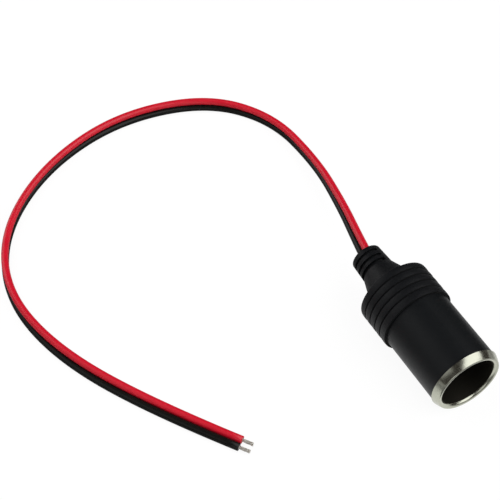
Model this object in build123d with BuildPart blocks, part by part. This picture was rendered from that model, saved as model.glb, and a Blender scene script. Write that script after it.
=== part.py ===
import math
import os

from build123d import *

# In-line 12 V car power socket with a bonded twin lead.
# Millimetres. The socket's axis is X, the mouth is at X = 0 and looks along +X, Z is up.

# Metal cup that takes the plug
bore_d = 21.4
bore_depth = 41.0
base_round = 3.0
sheet = 0.5
rim_overhang = 0.42
rim_depth = 2.4
rim_bow = 17.0
crown_set = 0.61
lip_width = 1.37
lip_round = 0.45

# Rigid sleeve round the cup
sleeve_wall = 1.88
sleeve_set = 0.9
cup_clearance = 0.05

# Soft overmould: ribbed collar, neck, strain relief
cup_cover = 4.1
collar_step = 1.09
collar_length = 15.0
collar_wall = 2.0
rib_bulge = 0.09
groove_set = 3.05
groove_pitch = 3.08
groove_count = 4
groove_width = 0.7
groove_depth = 0.35
neck_root_d = 23.4
neck_curve = 4.4
neck_round = 8.2
neck_waist_d = 16.8
neck_cone = 5.9
relief_front_d = 12.64
relief_rear_d = 11.86
relief_length = 8.4
tail_round = 0.5
slot_set = 2.5
slot_count = 3
slot_pitch = 2.62
slot_width = 1.05
slot_front_width = 1.5
slot_depth = 1.1
spine_angle = 45.0
spine_span = 36.0
seal_angle = 45.0

# Insulated centre contact
disc_clearance = 0.2
disc_thickness = 1.5
disc_chamfer = 0.3
spigot_d = 7.2
spigot_clearance = 0.05
washer_d = 10.0
washer_thickness = 1.2
contact_d = 10.4
contact_thickness = 0.6
contact_dish = 0.4
rivet_d = 3.0
rivet_clearance = 0.05
rivet_front_d = 6.0
rivet_rear_d = 5.2
rivet_head = 0.85
rivet_dome = 2.33
rivet_crown_d = 2.4

# Solder tags and joints
tag_thickness = 0.5
tag_width = 2.4
tag_tail = 5.3
tag_ring_d = 7.2
tag_bend = 0.8
tag_gap = 0.4
negative_foot = 2.2
solder_set = 1.1
solder_length = 1.6
solder_d = 2.2
solder_film = 0.2

# Twin lead
core_d = 2.8
core_gap = 0.09
wire_d = 1.3
wire_gap = 0.6
wire_sweep = 3.5
strip_set = 2.0
bare_length = 4.2
arc_share = 0.45

# Stations along the axis, from the mouth back
floor_front = -bore_depth
floor_back = floor_front - sheet
washer_back = floor_back - washer_thickness
tag_back = washer_back - tag_thickness
rivet_back = tag_back - rivet_head
tag_end = washer_back - tag_tail
solder_front = tag_back - solder_set
wire_front = tag_back - wire_gap
wire_entry = tag_end - wire_sweep
strip = wire_entry - strip_set
disc_front = floor_front + disc_thickness
contact_front = disc_front + contact_thickness
collar_rear = floor_back - cup_cover
collar_front = collar_rear + collar_length
sleeve_rear = collar_rear + collar_wall
neck_waist = collar_rear - neck_curve
relief_front = neck_waist - neck_cone
tail = relief_front - relief_length

# Radii, from the bore out
bore_r = bore_d / 2
crown_r = bore_r + lip_width
flat_r = bore_r - base_round
disc_r = flat_r - disc_clearance
cup_r = bore_r + sheet
sleeve_bore_r = cup_r + cup_clearance
sleeve_r = sleeve_bore_r + sleeve_wall
rim_r = sleeve_r + rim_overhang
collar_r = sleeve_r + collar_step
rib_r = collar_r - rib_bulge
positive_reach = tag_ring_d / 2 + tag_bend
negative_reach = washer_d / 2 + tag_gap
core_r = core_d / 2
wire_r = wire_d / 2
floor_z = -collar_r

# Route of the pair's middle line: x, y, rise (1 on the socket's axis, 0 lying on the floor)
# and lean of the red core from upright, in degrees, towards the outside of the loop.
route = [
    (strip, 0.0, 1.0, 33.0),
    (-63.0, 0.0, 1.0, 33.0),
    (-73.7, 2.6, 0.88, 25.0),
    (-93.7, 8.6, 0.5, 16.5),
    (-121.7, 14.5, 0.09, 3.7),
    (-153.6, 12.5, 0.0, 6.0),
    (-177.1, -6.6, 0.0, 18.0),
    (-185.5, -43.3, 0.0, 22.0),
    (-175.4, -79.8, 0.0, 4.0),
    (-152.9, -107.8, 0.0, 0.0),
    (-124.4, -119.9, 0.0, -8.5),
    (-92.0, -115.8, 0.0, -33.5),
    (-54.8, -97.2, 0.0, -61.5),
    (-24.4, -75.7, 0.0, -82.0),
]

# Where the overmould stops round the cup's base
seal_round = base_round + sheet
seal_x = floor_front + base_round - seal_round * math.cos(math.radians(seal_angle))
seal_r = flat_r + seal_round * math.sin(math.radians(seal_angle))

# Rolled rim, as (x, radius): the lip curves out of the bore to the crown, the sheet folds back
# there, and the flank runs in a slight bow to the rim's rear edge over the sleeve.
mouth = (-lip_round, bore_r)
crown = (crown_set, crown_r)
fold = (crown_set - sheet, crown_r)
edge = (-rim_depth, rim_r)
lip_bow = (math.dist(mouth, crown) ** 2) / (2 * (crown_set + lip_round))
lip_middle = (crown_set - lip_bow, crown_r)
mouth_under = (lip_middle[0] + math.sqrt((lip_bow - sheet) ** 2 - (crown_r - cup_r) ** 2), cup_r)
flank = math.dist(edge, fold)
flank_x = (fold[0] - edge[0]) / flank
flank_r = (fold[1] - edge[1]) / flank
flank_run = (rim_bow**2 - (rim_bow - sheet) ** 2 + flank**2) / (2 * flank)
flank_deep = math.sqrt(rim_bow**2 - flank_run**2)
flank_middle = (
    edge[0] + flank_run * flank_x + flank_deep * flank_r,
    edge[1] + flank_run * flank_r - flank_deep * flank_x,
)
shoulder = tuple(f + sheet * (f - m) / (rim_bow - sheet) for f, m in zip(fold, flank_middle))
edge_under = tuple(e + sheet * (m - e) / rim_bow for e, m in zip(edge, flank_middle))

# Front end of the sleeve: against the rim's rear edge, then tucked under the flank
seat_share = (sleeve_r - edge_under[1]) / (edge[1] - edge_under[1])
seat_x = edge_under[0] + seat_share * (edge[0] - edge_under[0])
tuck_share = (-sleeve_set - edge_under[0]) / (fold[0] - edge_under[0])
tuck_r = edge_under[1] + tuck_share * (fold[1] - edge_under[1])


def halfway(centre, start, end):
    """Middle point of an arc round a centre"""
    radius = math.dist(centre, start)
    out_x = (start[0] + end[0]) / 2 - centre[0]
    out_r = (start[1] + end[1]) / 2 - centre[1]
    size = math.hypot(out_x, out_r)
    return centre[0] + radius * out_x / size, centre[1] + radius * out_r / size


def right_of(start, end):
    """Horizontal unit vector to the right of a run"""
    dx = end[0] - start[0]
    dy = end[1] - start[1]
    size = math.hypot(dx, dy)
    return dy / size, -dx / size


def core_points(side):
    """Corner points of one core: side is 1 for red and -1 for black"""
    reach = side * (core_d + core_gap) / 2
    points = []
    for i, (x, y, rise, lean) in enumerate(route):
        before = right_of(route[max(i - 1, 0)], route[max(i, 1)])
        after = right_of(route[min(i, len(route) - 2)], route[min(i + 1, len(route) - 1)])
        share = 1 + before[0] * after[0] + before[1] * after[1]
        out_x = (before[0] + after[0]) / share
        out_y = (before[1] + after[1]) / share
        up = math.cos(math.radians(lean))
        out = math.sin(math.radians(lean))
        lying = floor_z + core_r + up * (core_d + core_gap) / 2
        middle = lying * (1 - rise)
        points.append((x + reach * out * out_x, y + reach * out * out_y, middle + reach * up))
    return points


def bend_radii(points):
    """Radius at every inner corner: the arc takes arc_share of the shorter run"""
    radii = []
    for a, b, c in zip(points, points[1:], points[2:]):
        back = [p - q for p, q in zip(a, b)]
        ahead = [p - q for p, q in zip(c, b)]
        back_run = math.hypot(*back)
        ahead_run = math.hypot(*ahead)
        cosine = -sum(p * q for p, q in zip(back, ahead)) / (back_run * ahead_run)
        turn = math.acos(max(-1.0, min(1.0, cosine)))
        radii.append(arc_share * min(back_run, ahead_run) / math.tan(turn / 2))
    return radii


lead_angle = math.radians(route[0][3])
lead_out = (math.sin(lead_angle), math.cos(lead_angle))


def lead_point(station, reach):
    """Point at a signed distance from the axis, towards the red core"""
    return (station, reach * lead_out[0], reach * lead_out[1])


def wire_points(core, reach):
    """Corner points of a conductor: from its solder tag through the core to the bare end"""
    last = core[-1]
    run = [p - q for p, q in zip(last, core[-2])]
    size = math.hypot(*run)
    bare = tuple(p + bare_length * q / size for p, q in zip(last, run))
    entry = (wire_entry, core[0][1], core[0][2])
    return [lead_point(wire_front, reach), lead_point(tag_end, reach), entry] + core[1:-1] + [bare]


red_core = core_points(1)
black_core = core_points(-1)
red_radii = bend_radii(red_core)
black_radii = bend_radii(black_core)
red_joint = positive_reach - solder_film - wire_r
black_joint = -(negative_reach - solder_film - wire_r)
red_wire = wire_points(red_core, red_joint)
black_wire = wire_points(black_core, black_joint)
red_wire_radii = bend_radii(red_wire)[:2] + red_radii
black_wire_radii = bend_radii(black_wire)[:2] + black_radii
print("red radii", [round(r, 1) for r in red_radii])
print("black radii", [round(r, 1) for r in black_radii])

os.makedirs("parts", exist_ok=True)

# Cup: bore, floor with a hole for the insulator, rolled rim
with BuildPart() as contact_shell:
    with BuildSketch(Plane.XZ):
        with BuildLine():
            ThreePointArc(edge, halfway(flank_middle, edge, shoulder), shoulder)
            ThreePointArc(shoulder, halfway(fold, shoulder, crown), crown)
            ThreePointArc(crown, halfway(lip_middle, crown, mouth), mouth)
            Line(mouth, (floor_front + base_round, bore_r))
            RadiusArc((floor_front + base_round, bore_r), (floor_front, flat_r), -base_round)
            Polyline(
                (floor_front, flat_r),
                (floor_front, spigot_d / 2 + spigot_clearance),
                (floor_back, spigot_d / 2 + spigot_clearance),
                (floor_back, flat_r),
            )
            RadiusArc((floor_back, flat_r), (floor_front + base_round, cup_r), base_round + sheet)
            Line((floor_front + base_round, cup_r), mouth_under)
            ThreePointArc(mouth_under, halfway(lip_middle, mouth_under, fold), fold)
            ThreePointArc(fold, halfway(flank_middle, fold, edge_under), edge_under)
            Line(edge_under, edge)
        make_face()
    revolve(axis=Axis.X)

# Sleeve: plain tube, its front end tucked under the rim
with BuildPart() as front_sleeve:
    with BuildSketch(Plane.XZ):
        with BuildLine():
            Polyline(
                (seat_x, sleeve_r),
                edge_under,
                (-sleeve_set, tuck_r),
                (-sleeve_set, sleeve_bore_r),
                (sleeve_rear, sleeve_bore_r),
                (sleeve_rear, sleeve_r),
                close=True,
            )
        make_face()
    revolve(axis=Axis.X)

# Insulating disc on the floor of the cup, its spigot through the floor
with BuildPart() as base_insulator:
    with BuildSketch(Plane.XZ):
        with BuildLine():
            Polyline(
                (disc_front, rivet_d / 2 + rivet_clearance),
                (disc_front, disc_r - disc_chamfer),
                (disc_front - disc_chamfer, disc_r),
                (floor_front, disc_r),
                (floor_front, spigot_d / 2),
                (washer_back, spigot_d / 2),
                (washer_back, rivet_d / 2 + rivet_clearance),
                close=True,
            )
        make_face()
    revolve(axis=Axis.X)

# Insulating washer behind the floor
with BuildPart() as rear_washer:
    with BuildSketch(Plane(origin=(floor_back, 0, 0), x_dir=(0, 1, 0), z_dir=(-1, 0, 0))):
        Circle(washer_d / 2)
        Circle(spigot_d / 2 + spigot_clearance, mode=Mode.SUBTRACT)
    extrude(amount=washer_thickness)

# Contact plate with a turned-up edge
with BuildPart() as centre_contact:
    with BuildSketch(Plane.XZ):
        with BuildLine():
            Polyline(
                (disc_front, rivet_d / 2 + rivet_clearance),
                (contact_front, rivet_d / 2 + rivet_clearance),
                (contact_front, contact_d / 2 - contact_thickness),
                (contact_front + contact_dish, contact_d / 2 - contact_thickness),
                (contact_front + contact_dish, contact_d / 2),
                (disc_front, contact_d / 2),
                close=True,
            )
        make_face()
    revolve(axis=Axis.X)

# Rivet through plate, disc, washer and tag
with BuildPart() as centre_rivet:
    with BuildSketch(Plane.XZ):
        with BuildLine():
            Polyline(
                (contact_front + rivet_head, 0),
                (rivet_back, 0),
                (rivet_back, rivet_rear_d / 2),
                (tag_back, rivet_rear_d / 2),
                (tag_back, rivet_d / 2),
                (contact_front, rivet_d / 2),
                (contact_front, rivet_front_d / 2),
            )
            RadiusArc(
                (contact_front, rivet_front_d / 2),
                (contact_front + rivet_head, rivet_crown_d / 2),
                rivet_dome,
            )
            Line((contact_front + rivet_head, rivet_crown_d / 2), (contact_front + rivet_head, 0))
        make_face()
    revolve(axis=Axis.X)

# Positive tag: ring under the rear rivet head, tail bent back along the axis
tail_plane = Plane(origin=(0, 0, 0), x_dir=(-1, 0, 0), z_dir=(0, lead_out[1], -lead_out[0]))
with BuildPart() as positive_tag:
    with BuildSketch(Plane(origin=(washer_back, 0, 0), x_dir=(0, 1, 0), z_dir=(-1, 0, 0))):
        Circle(tag_ring_d / 2)
        Circle(rivet_d / 2 + rivet_clearance, mode=Mode.SUBTRACT)
    extrude(amount=tag_thickness)
    with BuildSketch(tail_plane):
        with BuildLine():
            Polyline(
                (-washer_back, tag_ring_d / 2 - tag_thickness),
                (-washer_back, positive_reach + tag_thickness),
                (-tag_end, positive_reach + tag_thickness),
                (-tag_end, positive_reach),
                (-tag_back, positive_reach),
                (-tag_back, tag_ring_d / 2 - tag_thickness),
                close=True,
            )
        make_face()
    extrude(amount=tag_width / 2, both=True)

# Negative tag: foot on the back of the cup's floor, tail bent back along the axis
with BuildPart() as negative_tag:
    with BuildSketch(tail_plane):
        with BuildLine():
            Polyline(
                (-floor_back, -negative_reach),
                (-floor_back, -negative_reach - negative_foot),
                (-floor_back + tag_thickness, -negative_reach - negative_foot),
                (-floor_back + tag_thickness, -negative_reach - tag_thickness),
                (-tag_end, -negative_reach - tag_thickness),
                (-tag_end, -negative_reach),
                close=True,
            )
        make_face()
    extrude(amount=tag_width / 2, both=True)

# Cores of the lead: tubes of insulation round stranded conductors
with BuildLine() as red_line:
    FilletPolyline(*red_core, radius=red_radii)
with BuildLine() as black_line:
    FilletPolyline(*black_core, radius=black_radii)
with BuildLine() as red_wire_line:
    FilletPolyline(*red_wire, radius=red_wire_radii)
with BuildLine() as black_wire_line:
    FilletPolyline(*black_wire, radius=black_wire_radii)

with BuildPart() as red_insulation:
    with BuildSketch(Plane(origin=red_core[0], x_dir=(0, 1, 0), z_dir=(-1, 0, 0))):
        Circle(core_r)
        Circle(wire_r, mode=Mode.SUBTRACT)
    sweep(path=red_line.line)

with BuildPart() as black_insulation:
    with BuildSketch(Plane(origin=black_core[0], x_dir=(0, 1, 0), z_dir=(-1, 0, 0))):
        Circle(core_r)
        Circle(wire_r, mode=Mode.SUBTRACT)
    sweep(path=black_line.line)

with BuildPart() as red_conductor:
    with BuildSketch(Plane(origin=red_wire[0], x_dir=(0, 1, 0), z_dir=(-1, 0, 0))):
        Circle(wire_r)
    sweep(path=red_wire_line.line)

with BuildPart() as black_conductor:
    with BuildSketch(Plane(origin=black_wire[0], x_dir=(0, 1, 0), z_dir=(-1, 0, 0))):
        Circle(wire_r)
    sweep(path=black_wire_line.line)

# Solder: a bead round the conductor, flat against its tag
with BuildPart() as positive_solder:
    with BuildSketch(Plane(origin=(solder_front, 0, 0), x_dir=(0, *lead_out), z_dir=(-1, 0, 0))):
        with Locations((red_joint, 0)):
            Circle(solder_d / 2)
            Circle(wire_r, mode=Mode.SUBTRACT)
        with Locations((positive_reach + solder_d / 2, 0)):
            Rectangle(solder_d, 2 * solder_d, mode=Mode.SUBTRACT)
    extrude(amount=solder_length)

with BuildPart() as negative_solder:
    with BuildSketch(Plane(origin=(solder_front, 0, 0), x_dir=(0, *lead_out), z_dir=(-1, 0, 0))):
        with Locations((black_joint, 0)):
            Circle(solder_d / 2)
            Circle(wire_r, mode=Mode.SUBTRACT)
        with Locations((-(negative_reach + solder_d / 2), 0)):
            Rectangle(solder_d, 2 * solder_d, mode=Mode.SUBTRACT)
    extrude(amount=solder_length)

# Overmould: one body cast round the sleeve's rear end, the joints and the cores
grooves = [collar_front - groove_set - i * groove_pitch for i in range(groove_count)]
rib_fronts = [collar_front] + [groove - groove_width / 2 for groove in grooves]
rib_rears = [groove + groove_width / 2 for groove in grooves] + [collar_rear]

with BuildPart() as rear_grip:
    with BuildSketch(Plane.XZ):
        with BuildLine():
            Line((collar_front, sleeve_r), (collar_front, rib_r))
            for front, rear in zip(rib_fronts, rib_rears):
                ThreePointArc((front, rib_r), ((front + rear) / 2, collar_r), (rear, rib_r))
            for rear, groove, front in zip(rib_rears, grooves, rib_fronts[1:]):
                ThreePointArc((rear, rib_r), (groove, rib_r - groove_depth), (front, rib_r))
            Line((collar_rear, rib_r), (collar_rear, neck_root_d / 2))
            RadiusArc((collar_rear, neck_root_d / 2), (neck_waist, neck_waist_d / 2), neck_round)
            Polyline(
                (neck_waist, neck_waist_d / 2),
                (relief_front, relief_front_d / 2),
                (tail + tail_round, relief_rear_d / 2),
            )
            RadiusArc(
                (tail + tail_round, relief_rear_d / 2),
                (tail, relief_rear_d / 2 - tail_round),
                -tail_round,
            )
            Polyline(
                (tail, relief_rear_d / 2 - tail_round),
                (tail, 0),
                (rivet_back, 0),
                (rivet_back, rivet_rear_d / 2),
                (tag_back, rivet_rear_d / 2),
                (tag_back, tag_ring_d / 2),
                (washer_back, tag_ring_d / 2),
                (washer_back, washer_d / 2),
                (floor_back, washer_d / 2),
                (floor_back, flat_r),
            )
            RadiusArc((floor_back, flat_r), (seal_x, seal_r), base_round + sheet)
            Polyline(
                (seal_x, seal_r),
                (seal_x, sleeve_bore_r),
                (sleeve_rear, sleeve_bore_r),
                (sleeve_rear, sleeve_r),
                (collar_front, sleeve_r),
            )
        make_face()
    revolve(axis=Axis.X)
    # slots of the strain relief, broken by two spines
    for i in range(slot_count):
        width = slot_front_width if i == slot_count - 1 else slot_width
        at = tail + slot_set + i * slot_pitch
        for half in range(2):
            angle = math.radians(spine_angle + spine_span / 2 + 180 * half)
            slot_plane = Plane(
                origin=(at, 0, 0),
                x_dir=(1, 0, 0),
                z_dir=(0, -math.sin(angle), math.cos(angle)),
            )
            with BuildSketch(slot_plane):
                with Locations((0, relief_front_d / 2)):
                    Rectangle(width, 2 * slot_depth)
            revolve(axis=Axis.X, revolution_arc=180 - spine_span, mode=Mode.SUBTRACT)
    # room for the cores, the conductors, the tags and the solder
    for start, line in ((red_core[0], red_line), (black_core[0], black_line)):
        with BuildSketch(Plane(origin=start, x_dir=(0, 1, 0), z_dir=(-1, 0, 0))):
            Circle(core_r)
        sweep(path=line.line, mode=Mode.SUBTRACT)
    add(red_conductor.part, mode=Mode.SUBTRACT)
    add(black_conductor.part, mode=Mode.SUBTRACT)
    add(positive_tag.part, mode=Mode.SUBTRACT)
    add(negative_tag.part, mode=Mode.SUBTRACT)
    add(positive_solder.part, mode=Mode.SUBTRACT)
    add(negative_solder.part, mode=Mode.SUBTRACT)

contact_shell.part.label = "contact_shell"
front_sleeve.part.label = "front_sleeve"
rear_grip.part.label = "rear_grip"
base_insulator.part.label = "base_insulator"
rear_washer.part.label = "rear_washer"
centre_contact.part.label = "centre_contact"
centre_rivet.part.label = "centre_rivet"
positive_tag.part.label = "positive_tag"
negative_tag.part.label = "negative_tag"
positive_solder.part.label = "positive_solder"
negative_solder.part.label = "negative_solder"
red_insulation.part.label = "red_insulation"
black_insulation.part.label = "black_insulation"
red_conductor.part.label = "red_conductor"
black_conductor.part.label = "black_conductor"

for lead, section, line in (
    (red_insulation, math.pi * (core_r**2 - wire_r**2), red_line),
    (black_insulation, math.pi * (core_r**2 - wire_r**2), black_line),
    (red_conductor, math.pi * wire_r**2, red_wire_line),
    (black_conductor, math.pi * wire_r**2, black_wire_line),
):
    length = sum(run.length for run in line.edges())
    ratio = lead.part.volume / (section * length)
    print(lead.part.label, "length", round(length, 1), "volume ratio", round(ratio, 4))

export_step(contact_shell.part, "parts/contact_shell.step")
export_step(front_sleeve.part, "parts/front_sleeve.step")
export_step(rear_grip.part, "parts/rear_grip.step")
export_step(base_insulator.part, "parts/base_insulator.step")
export_step(rear_washer.part, "parts/rear_washer.step")
export_step(centre_contact.part, "parts/centre_contact.step")
export_step(centre_rivet.part, "parts/centre_rivet.step")
export_step(positive_tag.part, "parts/positive_tag.step")
export_step(negative_tag.part, "parts/negative_tag.step")
export_step(positive_solder.part, "parts/positive_solder.step")
export_step(negative_solder.part, "parts/negative_solder.step")
export_step(red_insulation.part, "parts/red_insulation.step")
export_step(black_insulation.part, "parts/black_insulation.step")
export_step(red_conductor.part, "parts/red_conductor.step")
export_step(black_conductor.part, "parts/black_conductor.step")
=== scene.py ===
"""Looks of the in-line 12 V car power socket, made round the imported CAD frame. Metres, Z up."""

import math
import random

import bmesh
import bpy
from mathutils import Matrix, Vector


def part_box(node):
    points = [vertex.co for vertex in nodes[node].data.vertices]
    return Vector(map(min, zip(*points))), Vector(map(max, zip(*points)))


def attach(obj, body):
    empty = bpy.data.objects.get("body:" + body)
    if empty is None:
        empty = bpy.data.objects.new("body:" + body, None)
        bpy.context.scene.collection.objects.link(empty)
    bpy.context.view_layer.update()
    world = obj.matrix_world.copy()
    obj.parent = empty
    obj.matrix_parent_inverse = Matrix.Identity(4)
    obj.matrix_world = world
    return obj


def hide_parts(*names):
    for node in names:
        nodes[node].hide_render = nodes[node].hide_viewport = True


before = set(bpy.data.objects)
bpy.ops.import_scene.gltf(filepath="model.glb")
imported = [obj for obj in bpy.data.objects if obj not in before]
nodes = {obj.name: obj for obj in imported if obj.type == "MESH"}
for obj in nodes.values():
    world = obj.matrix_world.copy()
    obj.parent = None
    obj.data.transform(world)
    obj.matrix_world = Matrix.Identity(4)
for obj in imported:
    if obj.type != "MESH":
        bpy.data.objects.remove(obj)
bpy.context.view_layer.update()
scene = bpy.context.scene
scene.view_settings.view_transform = "Standard"

# Sizes of the lead, as in the part's source
core_d = 0.0028
core_gap = 0.00009
wire_d = 0.0013
bare_length = 0.0042
core_pitch = core_d + core_gap
core_r = core_d / 2
wire_r = wire_d / 2
floor_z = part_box("rear_grip")[0].z

# Radii of the socket, as in the part's source: bore, neck's root, sleeve, collar's grooves, ribs
bore_r = 0.0107
neck_root_r = 0.0117
sleeve_r = 0.01313
groove_r = 0.01395
rib_r = 0.01412

# Conductors inside the overmould, from the solder tags to the insulation
wire_front = -0.0438
tag_end = -0.048
wire_entry = -0.0515
red_joint = 0.00355
black_joint = -0.00455

# Route of the pair's middle line, as in the part's source: x, y, rise (1 on the socket's axis,
# 0 lying on the floor) and lean of the red core from upright, in degrees
route = [
    (-0.0535, 0.0, 1.0, 33.0),
    (-0.0630, 0.0, 1.0, 33.0),
    (-0.0737, 0.0026, 0.88, 25.0),
    (-0.0937, 0.0086, 0.5, 16.5),
    (-0.1217, 0.0145, 0.09, 3.7),
    (-0.1536, 0.0125, 0.0, 6.0),
    (-0.1771, -0.0066, 0.0, 18.0),
    (-0.1855, -0.0433, 0.0, 22.0),
    (-0.1754, -0.0798, 0.0, 4.0),
    (-0.1529, -0.1078, 0.0, 0.0),
    (-0.1244, -0.1199, 0.0, -8.5),
    (-0.0920, -0.1158, 0.0, -33.5),
    (-0.0548, -0.0972, 0.0, -61.5),
    (-0.0244, -0.0757, 0.0, -82.0),
]
lead_lean = math.radians(route[0][3])

# Jackets: the webs along their inner sides press into each other, so no light comes between
jacket_sides = 48
line_steps = 14
web_angle = math.radians(14)
web_press = 0.000003
jacket_bore_r = 0.00068
jacket_bore_depth = 0.003
cut_round = 0.00006

# Strands at the bare ends: one in the middle and six round it, each ring given by its distance
# from the middle in strand widths and its number of strands
strand_d = 0.0004
strand_sides = 10
strand_steps = 36
strand_rings = [(0, 1), (1, 6)]
strand_lay = 0.016
strand_inside = 0.0024
splay_start = 1.0
splay_end = 1.3
splay_drift = 0.1
strand_turn = 0.08
strand_uneven = 0.00018
rod_sides = 16
red_seed = 3
black_seed = 8

# Camera at the photograph's viewing angle
camera_place = Vector((0.181154, -0.189594, 0.376009))
camera_view = Vector((-0.55258, 0.31590, -0.77127))
camera_lens = 94.72
camera_clip = 0.01
sensor_width = 36.0

# Surroundings: angles above the horizon in degrees, light as a share of white
horizon_band = 3.0
horizon_fade = 9.0
horizon_light = 0.06
room_light = 0.03
room_tint = (1, 0.82, 0.7, 1)

# Floor: its side, its grey where it lights the part, and its grey and glow where it is seen
floor_size = 60.0
floor_bounce = 0.8
floor_shade = 0.1
floor_glow = 0.93

# Range that most of a noise texture lies in
noise_low = 0.3
noise_high = 0.7

# The bore's painted shade ends between these distances outside its wall
dark_end_near = 0.000005
dark_end_far = 0.00005

# Sockets of a mix node by its kind: first, second, result
mix_sockets = {"RGBA": (6, 7, 2), "FLOAT": (2, 3, 0)}

upright = Vector((0, 0, 1))
sideways = Vector((0, -1, 0))


def add_object(name, data):
    """New object in the scene"""
    piece = bpy.data.objects.new(name, data)
    scene.collection.objects.link(piece)
    return piece


def right_of(start, end):
    """Horizontal unit vector to the right of a run"""
    dx = end[0] - start[0]
    dy = end[1] - start[1]
    size = math.hypot(dx, dy)
    return dy / size, -dx / size


def core_points(side):
    """Control points of one core: side is 1 for red and -1 for black"""
    reach = side * core_pitch / 2
    points = []
    for i, (x, y, rise, lean) in enumerate(route):
        before = right_of(route[max(i - 1, 0)], route[max(i, 1)])
        after = right_of(route[min(i, len(route) - 2)], route[min(i + 1, len(route) - 1)])
        share = 1 + before[0] * after[0] + before[1] * after[1]
        out_x = (before[0] + after[0]) / share
        out_y = (before[1] + after[1]) / share
        up = math.cos(math.radians(lean))
        out = math.sin(math.radians(lean))
        lying = floor_z + core_r + up * core_pitch / 2
        middle = lying * (1 - rise)
        place = (x + reach * out * out_x, y + reach * out * out_y, middle + reach * up)
        points.append(Vector(place))
    return points


def lead_point(station, reach):
    """Point at a signed distance from the axis, towards the red core"""
    return Vector((station, reach * math.sin(lead_lean), reach * math.cos(lead_lean)))


def wire_points(core, joint):
    """Control points of a conductor: from its solder tag through the core to the bare end"""
    bare = core[-1] + bare_length * (core[-1] - core[-2]).normalized()
    entry = Vector((wire_entry, core[0].y, core[0].z))
    tagged = [lead_point(wire_front, joint), lead_point(tag_end, joint)]
    return tagged + [entry] + core[1:-1] + [bare]


def nurbs_line(points):
    """Places along the smooth line that has these control points"""
    curve = bpy.data.curves.new("line", "CURVE")
    curve.dimensions = "3D"
    curve.resolution_u = line_steps
    spline = curve.splines.new("NURBS")
    spline.points.add(len(points) - 1)
    for control, place in zip(spline.points, points):
        control.co = (*place, 1.0)
    spline.order_u = 3
    spline.use_endpoint_u = True
    carrier = bpy.data.objects.new("line", curve)
    line = bpy.data.meshes.new_from_object(carrier)
    places = [vertex.co.copy() for vertex in line.vertices]
    bpy.data.objects.remove(carrier)
    bpy.data.curves.remove(curve)
    bpy.data.meshes.remove(line)
    return places


def tangents(places):
    """Unit direction at each place of a line"""
    ahead = places[1:] + places[-1:]
    behind = places[:1] + places[:-1]
    return [(b - a).normalized() for a, b in zip(behind, ahead)]


def join_rings(mesh, rings):
    """Skin over rings of bmesh vertices, with flat ends"""
    for near, far in zip(rings, rings[1:]):
        for k in range(len(near)):
            after = (k + 1) % len(near)
            mesh.faces.new((near[k], near[after], far[after], far[k]))
    mesh.faces.new(reversed(rings[0]))
    mesh.faces.new(rings[-1])


def finish_mesh(name, mesh, material):
    """Smooth-shaded object from a bmesh"""
    bmesh.ops.recalc_face_normals(mesh, faces=mesh.faces)
    for face in mesh.faces:
        face.smooth = True
    data = bpy.data.meshes.new(name)
    mesh.to_mesh(data)
    mesh.free()
    data.materials.append(material)
    return add_object(name, data)


def jacket_profile(half_pitch):
    """Round of one jacket, towards and across its twin, with a narrow web that meets the twin's"""
    profile = []
    for k in range(jacket_sides):
        angle = 2 * math.pi * (k + 0.5) / jacket_sides
        towards = core_r * math.cos(angle)
        if abs(math.atan2(math.sin(angle), math.cos(angle))) < web_angle:
            towards = half_pitch + web_press
        profile.append((towards, core_r * math.sin(angle)))
    return profile


def make_jacket(name, line, twin, material):
    """Insulation of one core, cut square at the far end round a bore for the strands"""
    mesh = bmesh.new()
    rings = []
    along = tangents(line)
    for place, other, ahead in zip(line, twin, along):
        towards = other - place
        towards -= ahead * towards.dot(ahead)
        profile = jacket_profile(towards.length / 2)
        towards.normalize()
        across = ahead.cross(towards)
        rings.append([mesh.verts.new(place + towards * u + across * v) for u, v in profile])
    cut = line[-1]
    ahead = along[-1]
    for vertex in rings[-1]:
        vertex.co -= ahead * cut_round
    outer = [vertex.co.copy() for vertex in rings[-1]]
    centre = cut - ahead * cut_round
    inward = [(centre - place).normalized() for place in outer]
    soft_edge = [
        mesh.verts.new(place + ahead * cut_round + way * cut_round)
        for place, way in zip(outer, inward)
    ]
    rings.append(soft_edge)
    for depth in (0, jacket_bore_depth):
        middle = cut - ahead * depth
        rings.append([mesh.verts.new(middle - way * jacket_bore_r) for way in inward])
    join_rings(mesh, rings)
    return finish_mesh(name, mesh, material)


def tube(mesh, places, radius, sides):
    """Round tube in a bmesh along places that aren't upright"""
    rings = []
    for place, ahead in zip(places, tangents(places)):
        across = ahead.cross(upright).normalized()
        rise = across.cross(ahead)
        ring = []
        for k in range(sides):
            angle = 2 * math.pi * k / sides
            out = math.cos(angle) * across + math.sin(angle) * rise
            ring.append(mesh.verts.new(place + radius * out))
        rings.append(ring)
    join_rings(mesh, rings)


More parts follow.
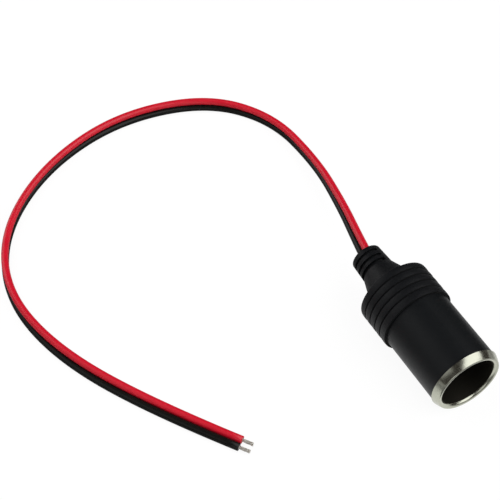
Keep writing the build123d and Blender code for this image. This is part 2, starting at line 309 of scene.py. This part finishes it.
def make_conductor(name, line, material, seed):
    """Conductor: a plain rod where the jacket hides it, twisted strands at the bare end"""
    draw = random.Random(seed)
    mesh = bmesh.new()
    tip = line[-1]
    ahead = (line[-1] - line[-2]).normalized()
    strand_length = bare_length + strand_inside
    start = tip - ahead * strand_length
    rod = [place for place in line if (place - tip).length > strand_length] + [start]
    tube(mesh, rod, wire_r, rod_sides)
    across = ahead.cross(upright).normalized()
    rise = across.cross(ahead)
    for ring, count in strand_rings:
        for k in range(count):
            phase = 2 * math.pi * (k + draw.uniform(-strand_turn, strand_turn)) / count
            reach = strand_length - draw.uniform(0, strand_uneven)
            drift = draw.uniform(-splay_drift, splay_drift)
            places = []
            for step in range(strand_steps + 1):
                share = step / strand_steps
                bare_share = max(0.0, (share * reach - strand_inside) / bare_length)
                angle = phase + 2 * math.pi * share * reach / strand_lay
                spread = splay_start + (splay_end + drift - splay_start) * bare_share
                out = ring * strand_d * spread
                around = math.cos(angle) * across + math.sin(angle) * rise
                places.append(start + ahead * share * reach + around * out)
            tube(mesh, places, strand_d / 2, strand_sides)
    return finish_mesh(name, mesh, material)


def add_node(tree, kind, **values):
    """Shader node with its sockets or properties set by name"""
    node = tree.nodes.new(kind)
    for name, value in values.items():
        if hasattr(node, name):
            setattr(node, name, value)
        else:
            node.inputs[name.replace("_", " ")].default_value = value
    return node


def plain_material(name, colour, roughness, metallic=0.0, specular=0.5):
    """Material with its even values on the shader's own sockets"""
    material = bpy.data.materials.new(name)
    material.use_nodes = True
    tree = material.node_tree
    shader = tree.nodes["Principled BSDF"]
    shader.inputs["Base Color"].default_value = (*colour, 1)
    shader.inputs["Roughness"].default_value = roughness
    shader.inputs["Metallic"].default_value = metallic
    shader.inputs["Specular IOR Level"].default_value = specular
    return material, tree, shader


def noise(tree, scale, detail, stretch=(1, 1, 1)):
    """Noise in the part's own coordinates, drawn out along an axis where asked"""
    place = add_node(tree, "ShaderNodeTexCoord")
    mapping = add_node(tree, "ShaderNodeMapping", Scale=stretch)
    texture = add_node(tree, "ShaderNodeTexNoise", Scale=scale, Detail=detail)
    tree.links.new(place.outputs["Object"], mapping.inputs["Vector"])
    tree.links.new(mapping.outputs["Vector"], texture.inputs["Vector"])
    return texture.outputs["Fac"]


def changed(tree, value, start, end, low, high, kind="SMOOTHSTEP"):
    """Change from low to high while a value goes from start to end"""
    node = add_node(tree, "ShaderNodeMapRange", interpolation_type=kind)
    node.inputs["From Min"].default_value = start
    node.inputs["From Max"].default_value = end
    node.inputs["To Min"].default_value = low
    node.inputs["To Max"].default_value = high
    tree.links.new(value, node.inputs["Value"])
    return node.outputs["Result"]


def ranged(tree, value, low, high):
    """Value from a noise texture brought into a range"""
    return changed(tree, value, noise_low, noise_high, low, high, "LINEAR")


def mixed(tree, factor, first, second, kind="RGBA"):
    """Colour, or number where kind is FLOAT, between two by a factor"""
    node = add_node(tree, "ShaderNodeMix", data_type=kind)
    first_socket, second_socket, result = mix_sockets[kind]
    tree.links.new(factor, node.inputs["Factor"])
    for index, value in ((first_socket, first), (second_socket, second)):
        if isinstance(value, bpy.types.NodeSocket):
            tree.links.new(value, node.inputs[index])
        elif kind == "RGBA":
            node.inputs[index].default_value = (*value, 1)
        else:
            node.inputs[index].default_value = value
    return node.outputs[result]


def bump(tree, shader, height, distance):
    """Bump on a shader from a height texture"""
    node = add_node(tree, "ShaderNodeBump", Distance=distance, Strength=1.0)
    tree.links.new(height, node.inputs["Height"])
    tree.links.new(node.outputs["Normal"], shader.inputs["Normal"])


def finish_shader(tree, shader, colour, roughness):
    """Links a shader's colour and roughness"""
    tree.links.new(colour, shader.inputs["Base Color"])
    tree.links.new(roughness, shader.inputs["Roughness"])


def radius_from_axis(tree):
    """Distance from the socket's axis"""
    place = add_node(tree, "ShaderNodeTexCoord")
    flat = add_node(tree, "ShaderNodeVectorMath", operation="MULTIPLY")
    flat.inputs[1].default_value = (0, 1, 1)
    length = add_node(tree, "ShaderNodeVectorMath", operation="LENGTH")
    tree.links.new(place.outputs["Object"], flat.inputs[0])
    tree.links.new(flat.outputs["Vector"], length.inputs[0])
    return length.outputs["Value"]


def nickel_material():
    """Bright nickel plate, with painted shade on the wall inside the bore"""
    plate_dark = (0.45, 0.46, 0.385)
    plate_light = (0.51, 0.52, 0.435)
    # Painted shade: the bore's metal wall is coloured dark instead of plate
    bore_painted_shade = (0.055, 0.051, 0.042)
    bore_roughness = 0.6
    material, tree, shader = plain_material("nickel_plate", (0.48, 0.49, 0.41), 0.2, metallic=1.0)
    dark_start = bore_r + dark_end_near
    dark_end = bore_r + dark_end_far
    inside = changed(tree, radius_from_axis(tree), dark_start, dark_end, 1.0, 0.0)
    plate = mixed(tree, noise(tree, 260, 4), plate_dark, plate_light)
    grain = ranged(tree, noise(tree, 420, 2), 0.21, 0.24)
    # Painted shade inside the bore laid over the plate's colour
    colour = mixed(tree, inside, plate, bore_painted_shade)
    finish_shader(tree, shader, colour, mixed(tree, inside, grain, bore_roughness, "FLOAT"))
    bump(tree, shader, noise(tree, 900, 2), 0.0000001)
    return material


def sleeve_material():
    """Satin black moulded plastic with a faint flow and fine grain"""
    dark = (0.0050, 0.0060, 0.0070)
    light = (0.0074, 0.0086, 0.0098)
    even = (0.0062, 0.0073, 0.0084)
    material, tree, shader = plain_material("sleeve_plastic", even, 0.42, specular=0.2)
    colour = mixed(tree, noise(tree, 120, 3), dark, light)
    finish_shader(tree, shader, colour, ranged(tree, noise(tree, 700, 4), 0.38, 0.46))
    bump(tree, shader, noise(tree, 5200, 2), 0.000012)
    return material


def overmould_material():
    """Matt soft PVC with a fine moulded grain; painted shade darkens the collar's grooves and its
    step, which are also rougher
    """
    dark = (0.0012, 0.0018, 0.0030)
    light = (0.0026, 0.0034, 0.0048)
    even = (0.0019, 0.0026, 0.0039)
    # Painted shade in the collar's grooves and on its front step, darker than the ribs
    groove_painted_shade = (0.0006, 0.0009, 0.0014)
    groove_roughness = 0.9
    material, tree, shader = plain_material("soft_overmould", even, 0.52, specular=0.3)
    radius = radius_from_axis(tree)
    # Mask: 0 in the grooves and on the step, where the shade is painted, 1 on the ribs and the neck
    unshaded_face = add_node(tree, "ShaderNodeMath", operation="MAXIMUM")
    on_ribs = changed(tree, radius, groove_r, rib_r, 0.0, 1.0)
    on_neck = changed(tree, radius, neck_root_r, sleeve_r, 1.0, 0.0)
    tree.links.new(on_ribs, unshaded_face.inputs[0])
    tree.links.new(on_neck, unshaded_face.inputs[1])
    shown = unshaded_face.outputs[0]
    cloud = mixed(tree, noise(tree, 240, 4), dark, light)
    grain = ranged(tree, noise(tree, 1500, 3), 0.46, 0.58)
    colour = mixed(tree, shown, groove_painted_shade, cloud)
    finish_shader(tree, shader, colour, mixed(tree, shown, groove_roughness, grain, "FLOAT"))
    bump(tree, shader, noise(tree, 3600, 3), 0.00003)
    return material


def jacket_material(name, dark, light, roughness, specular):
    """Satin extruded PVC with a slow change of colour and a faintly uneven skin"""
    material, tree, shader = plain_material(name, light, roughness, specular=specular)
    colour = mixed(tree, noise(tree, 160, 3), dark, light)
    grain = ranged(tree, noise(tree, 500, 2), roughness - 0.02, roughness + 0.03)
    finish_shader(tree, shader, colour, grain)
    bump(tree, shader, noise(tree, 600, 1), 0.000002)
    return material


def strand_material():
    """Tinned copper with some copper showing"""
    tin = (0.94, 0.95, 0.90)
    copper = (0.34, 0.23, 0.16)
    even = (0.82, 0.83, 0.78)
    material, tree, shader = plain_material("tinned_strands", even, 0.3, metallic=0.45)
    colour = mixed(tree, ranged(tree, noise(tree, 2400, 3), 0.0, 0.7), tin, copper)
    finish_shader(tree, shader, colour, ranged(tree, noise(tree, 5000, 2), 0.28, 0.42))
    return material


def brass_material():
    """Stamped brass, slightly tarnished"""
    dark = (0.52, 0.37, 0.17)
    light = (0.74, 0.58, 0.32)
    even = (0.66, 0.50, 0.26)
    material, tree, shader = plain_material("stamped_brass", even, 0.3, metallic=1.0)
    colour = mixed(tree, noise(tree, 700, 4), dark, light)
    finish_shader(tree, shader, colour, ranged(tree, noise(tree, 2200, 3), 0.24, 0.42))
    bump(tree, shader, noise(tree, 3000, 2), 0.000008)
    return material


def phenolic_material():
    """Dark brown phenolic board with a fibrous fleck"""
    dark = (0.018, 0.012, 0.009)
    light = (0.045, 0.029, 0.019)
    even = (0.030, 0.020, 0.014)
    material, tree, shader = plain_material("phenolic_board", even, 0.5)
    fleck = noise(tree, 1500, 4, (1, 1, 0.25))
    colour = mixed(tree, fleck, dark, light)
    finish_shader(tree, shader, colour, ranged(tree, fleck, 0.42, 0.6))
    bump(tree, shader, fleck, 0.00002)
    return material


def solder_material():
    """Reflowed solder, bright with dull patches"""
    dark = (0.50, 0.50, 0.51)
    light = (0.68, 0.68, 0.69)
    even = (0.60, 0.60, 0.61)
    material, tree, shader = plain_material("reflowed_solder", even, 0.3, metallic=1.0)
    patch = noise(tree, 1200, 3)
    colour = mixed(tree, patch, dark, light)
    finish_shader(tree, shader, colour, ranged(tree, patch, 0.22, 0.42))
    bump(tree, shader, patch, 0.00003)
    return material


def dress(names, material):
    """Gives CAD nodes a material"""
    for name in names:
        slots = nodes[name].data.materials
        slots.clear()
        slots.append(material)


def seen_directly(tree):
    """1 where a surface is seen by the camera, in a reflection or through glass"""
    path = add_node(tree, "ShaderNodeLightPath")
    seen = add_node(tree, "ShaderNodeMath", operation="ADD")
    total = add_node(tree, "ShaderNodeMath", operation="ADD", use_clamp=True)
    tree.links.new(path.outputs["Is Camera Ray"], seen.inputs[0])
    tree.links.new(path.outputs["Is Glossy Ray"], seen.inputs[1])
    tree.links.new(seen.outputs[0], total.inputs[0])
    tree.links.new(path.outputs["Is Transmission Ray"], total.inputs[1])
    return total.outputs[0]


def floor_material():
    """Pale floor that is white where it is seen and keeps a faint shadow"""
    material = bpy.data.materials.new("floor")
    material.use_nodes = True
    tree = material.node_tree
    tree.nodes.clear()
    output = add_node(tree, "ShaderNodeOutputMaterial")
    bounce = (floor_bounce, floor_bounce, floor_bounce, 1)
    shown = (floor_shade, floor_shade, floor_shade, 1)
    paper = add_node(tree, "ShaderNodeBsdfDiffuse", Color=bounce)
    shade = add_node(tree, "ShaderNodeBsdfDiffuse", Color=shown)
    glow = add_node(tree, "ShaderNodeEmission", Strength=floor_glow)
    white = add_node(tree, "ShaderNodeAddShader")
    choose = add_node(tree, "ShaderNodeMixShader")
    tree.links.new(shade.outputs[0], white.inputs[0])
    tree.links.new(glow.outputs[0], white.inputs[1])
    tree.links.new(seen_directly(tree), choose.inputs[0])
    tree.links.new(paper.outputs[0], choose.inputs[1])
    tree.links.new(white.outputs[0], choose.inputs[2])
    tree.links.new(choose.outputs[0], output.inputs["Surface"])
    return material


def add_floor():
    """Large level floor under the part"""
    mesh = bmesh.new()
    bmesh.ops.create_grid(mesh, x_segments=1, y_segments=1, size=floor_size / 2)
    bmesh.ops.translate(mesh, verts=mesh.verts, vec=(0, 0, floor_z))
    floor = finish_mesh("floor", mesh, floor_material())


def add_world():
    """Dim room with a paler band along the horizon"""
    world = bpy.data.worlds.new("surroundings")
    world.use_nodes = True
    tree = world.node_tree
    background = tree.nodes["Background"]
    background.inputs["Color"].default_value = room_tint
    way = add_node(tree, "ShaderNodeTexCoord")
    split = add_node(tree, "ShaderNodeSeparateXYZ")
    tree.links.new(way.outputs["Generated"], split.inputs[0])
    band = math.sin(math.radians(horizon_band))
    fade = math.sin(math.radians(horizon_fade))
    light = changed(tree, split.outputs["Z"], band, fade, horizon_light, room_light)
    tree.links.new(light, background.inputs["Strength"])
    scene.world = world


def direction(azimuth, elevation):
    """Unit vector at an azimuth from +X towards +Y and an elevation, in degrees"""
    flat = math.cos(math.radians(elevation))
    across = math.radians(azimuth)
    height = math.sin(math.radians(elevation))
    return Vector((flat * math.cos(across), flat * math.sin(across), height))


def add_softbox(name, aim, place, width, height, power):
    """Area lamp that faces a point"""
    lamp = bpy.data.lights.new(name, "AREA")
    lamp.shape = "RECTANGLE"
    lamp.size = width
    lamp.size_y = height
    lamp.energy = power
    box = add_object(name, lamp)
    box.location = place
    box.rotation_euler = (aim - place).to_track_quat("-Z", "Y").to_euler()
    return box


def add_card(name, centre, width, height, facing, material):
    """Card that only shows in reflections"""
    mesh = bmesh.new()
    bmesh.ops.create_grid(mesh, x_segments=1, y_segments=1, size=0.5)
    card = finish_mesh(name, mesh, material)
    card.scale = (width, height, 1)
    card.location = centre
    card.rotation_euler = facing.to_track_quat("Z", "Y").to_euler()
    card.visible_camera = False
    card.visible_diffuse = False
    card.visible_shadow = False


def paper_material(near, far, shade):
    """Matt card that fades in over the floor away from the socket's mouth, between two distances"""
    material, tree, shader = plain_material("paper", (shade, shade, shade), 0.9, specular=0.0)
    place = add_node(tree, "ShaderNodeNewGeometry")
    length = add_node(tree, "ShaderNodeVectorMath", operation="LENGTH")
    tree.links.new(place.outputs["Position"], length.inputs[0])
    fade = changed(tree, length.outputs["Value"], near, far, 0.0, 1.0)
    tree.links.new(fade, shader.inputs["Alpha"])
    return material


# Camera
camera_data = bpy.data.cameras.new("camera")
camera_data.lens = camera_lens
camera_data.sensor_width = sensor_width
camera_data.clip_start = camera_clip
camera = add_object("camera", camera_data)
camera.location = camera_place
camera.rotation_euler = camera_view.to_track_quat("-Z", "Y").to_euler()
scene.camera = camera

# Lead
red_core = core_points(1)
black_core = core_points(-1)
red_line = nurbs_line(red_core)
black_line = nurbs_line(black_core)
red_wire = nurbs_line(wire_points(red_core, red_joint))
black_wire = nurbs_line(wire_points(black_core, black_joint))
red_pvc = jacket_material("red_pvc", (0.68, 0.007, 0.025), (0.75, 0.009, 0.030), 0.3, 0.45)
black_pvc = jacket_material(
    "black_pvc", (0.006, 0.006, 0.0055), (0.009, 0.009, 0.008), 0.26, 0.24
)
tinned = strand_material()
red_jacket = make_jacket("red_jacket", red_line, black_line, red_pvc)
black_jacket = make_jacket("black_jacket", black_line, red_line, black_pvc)
red_strands = make_conductor("red_strands", red_wire, tinned, red_seed)
black_strands = make_conductor("black_strands", black_wire, tinned, black_seed)
for jacket, strands, line, colour in (
    (red_jacket, red_strands, red_line, "red"),
    (black_jacket, black_strands, black_line, "black"),
):
    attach(jacket, "root")
    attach(strands, "root")
    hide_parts(colour + "_insulation")
    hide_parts(colour + "_conductor")

# Finishes of the CAD nodes
dress(["contact_shell"], nickel_material())
dress(["front_sleeve"], sleeve_material())
dress(["rear_grip"], overmould_material())
dress(["base_insulator", "rear_washer"], phenolic_material())
dress(["centre_contact", "centre_rivet", "positive_tag", "negative_tag"], brass_material())
dress(["positive_solder", "negative_solder"], solder_material())

add_floor()
add_world()

# Softboxes: name, point they face, azimuth, elevation, distance, width, height, power and
# whether they show in reflections
mouth = Vector((0, 0, 0))
lead_middle = Vector((-0.06, -0.03, 0))
softboxes = [
    ("key_softbox", mouth, 50, 47, 0.9, 1.46, 1.16, 9.6, True),
    ("left_softbox", lead_middle, -112, 36, 0.9, 1.2, 0.8, 1.4, True),
    ("back_softbox", lead_middle, -158, 16, 0.9, 0.6, 0.75, 1.5, True),
    ("front_softbox", mouth, -32, 16, 0.7, 0.5, 0.45, 0.56, True),
    ("top_softbox", lead_middle, -150, 62, 0.9, 0.7, 0.7, 2.7, False),
]
for name, aim, azimuth, elevation, distance, width, height, power, mirrored in softboxes:
    place = aim + distance * direction(azimuth, elevation)
    add_softbox(name, aim, place, width, height, power).visible_glossy = mirrored

# Cards: name, centre, width, height, way they face, material
brown = plain_material("brown_card", (0.03, 0.018, 0.013), 0.9, specular=0.0)[0]
# Grey card that stands in for the rim's shadow on the floor
grey = plain_material("shadow_grey_card", (0.18, 0.18, 0.18), 0.9, specular=0.0)[0]
paper = paper_material(near=0.014, far=0.11, shade=0.3)
paper_z = floor_z + 0.0002
grey_z = floor_z + 0.0004
cards = [
    ("rim_card", (0.005, 0.1, 0.043), 0.07, 0.06, sideways, brown),
    ("corner_card", (0.06, 0.1, 0.058), 0.04, 0.1, sideways, brown),
    ("right_card", (-0.065, 0.1, 0.016), 0.07, 0.06, sideways, brown),
    ("paper_card", (0, 0, paper_z), 1.2, 1.2, upright, paper),
    # Grey sheet on the floor before the mouth: a painted shadow of the rim, seen only in the
    # plate's reflections
    ("rim_shadow_card", (0.13, -0.03, grey_z), 0.236, 0.12, upright, grey),
]
for card in cards:
    add_card(*card)
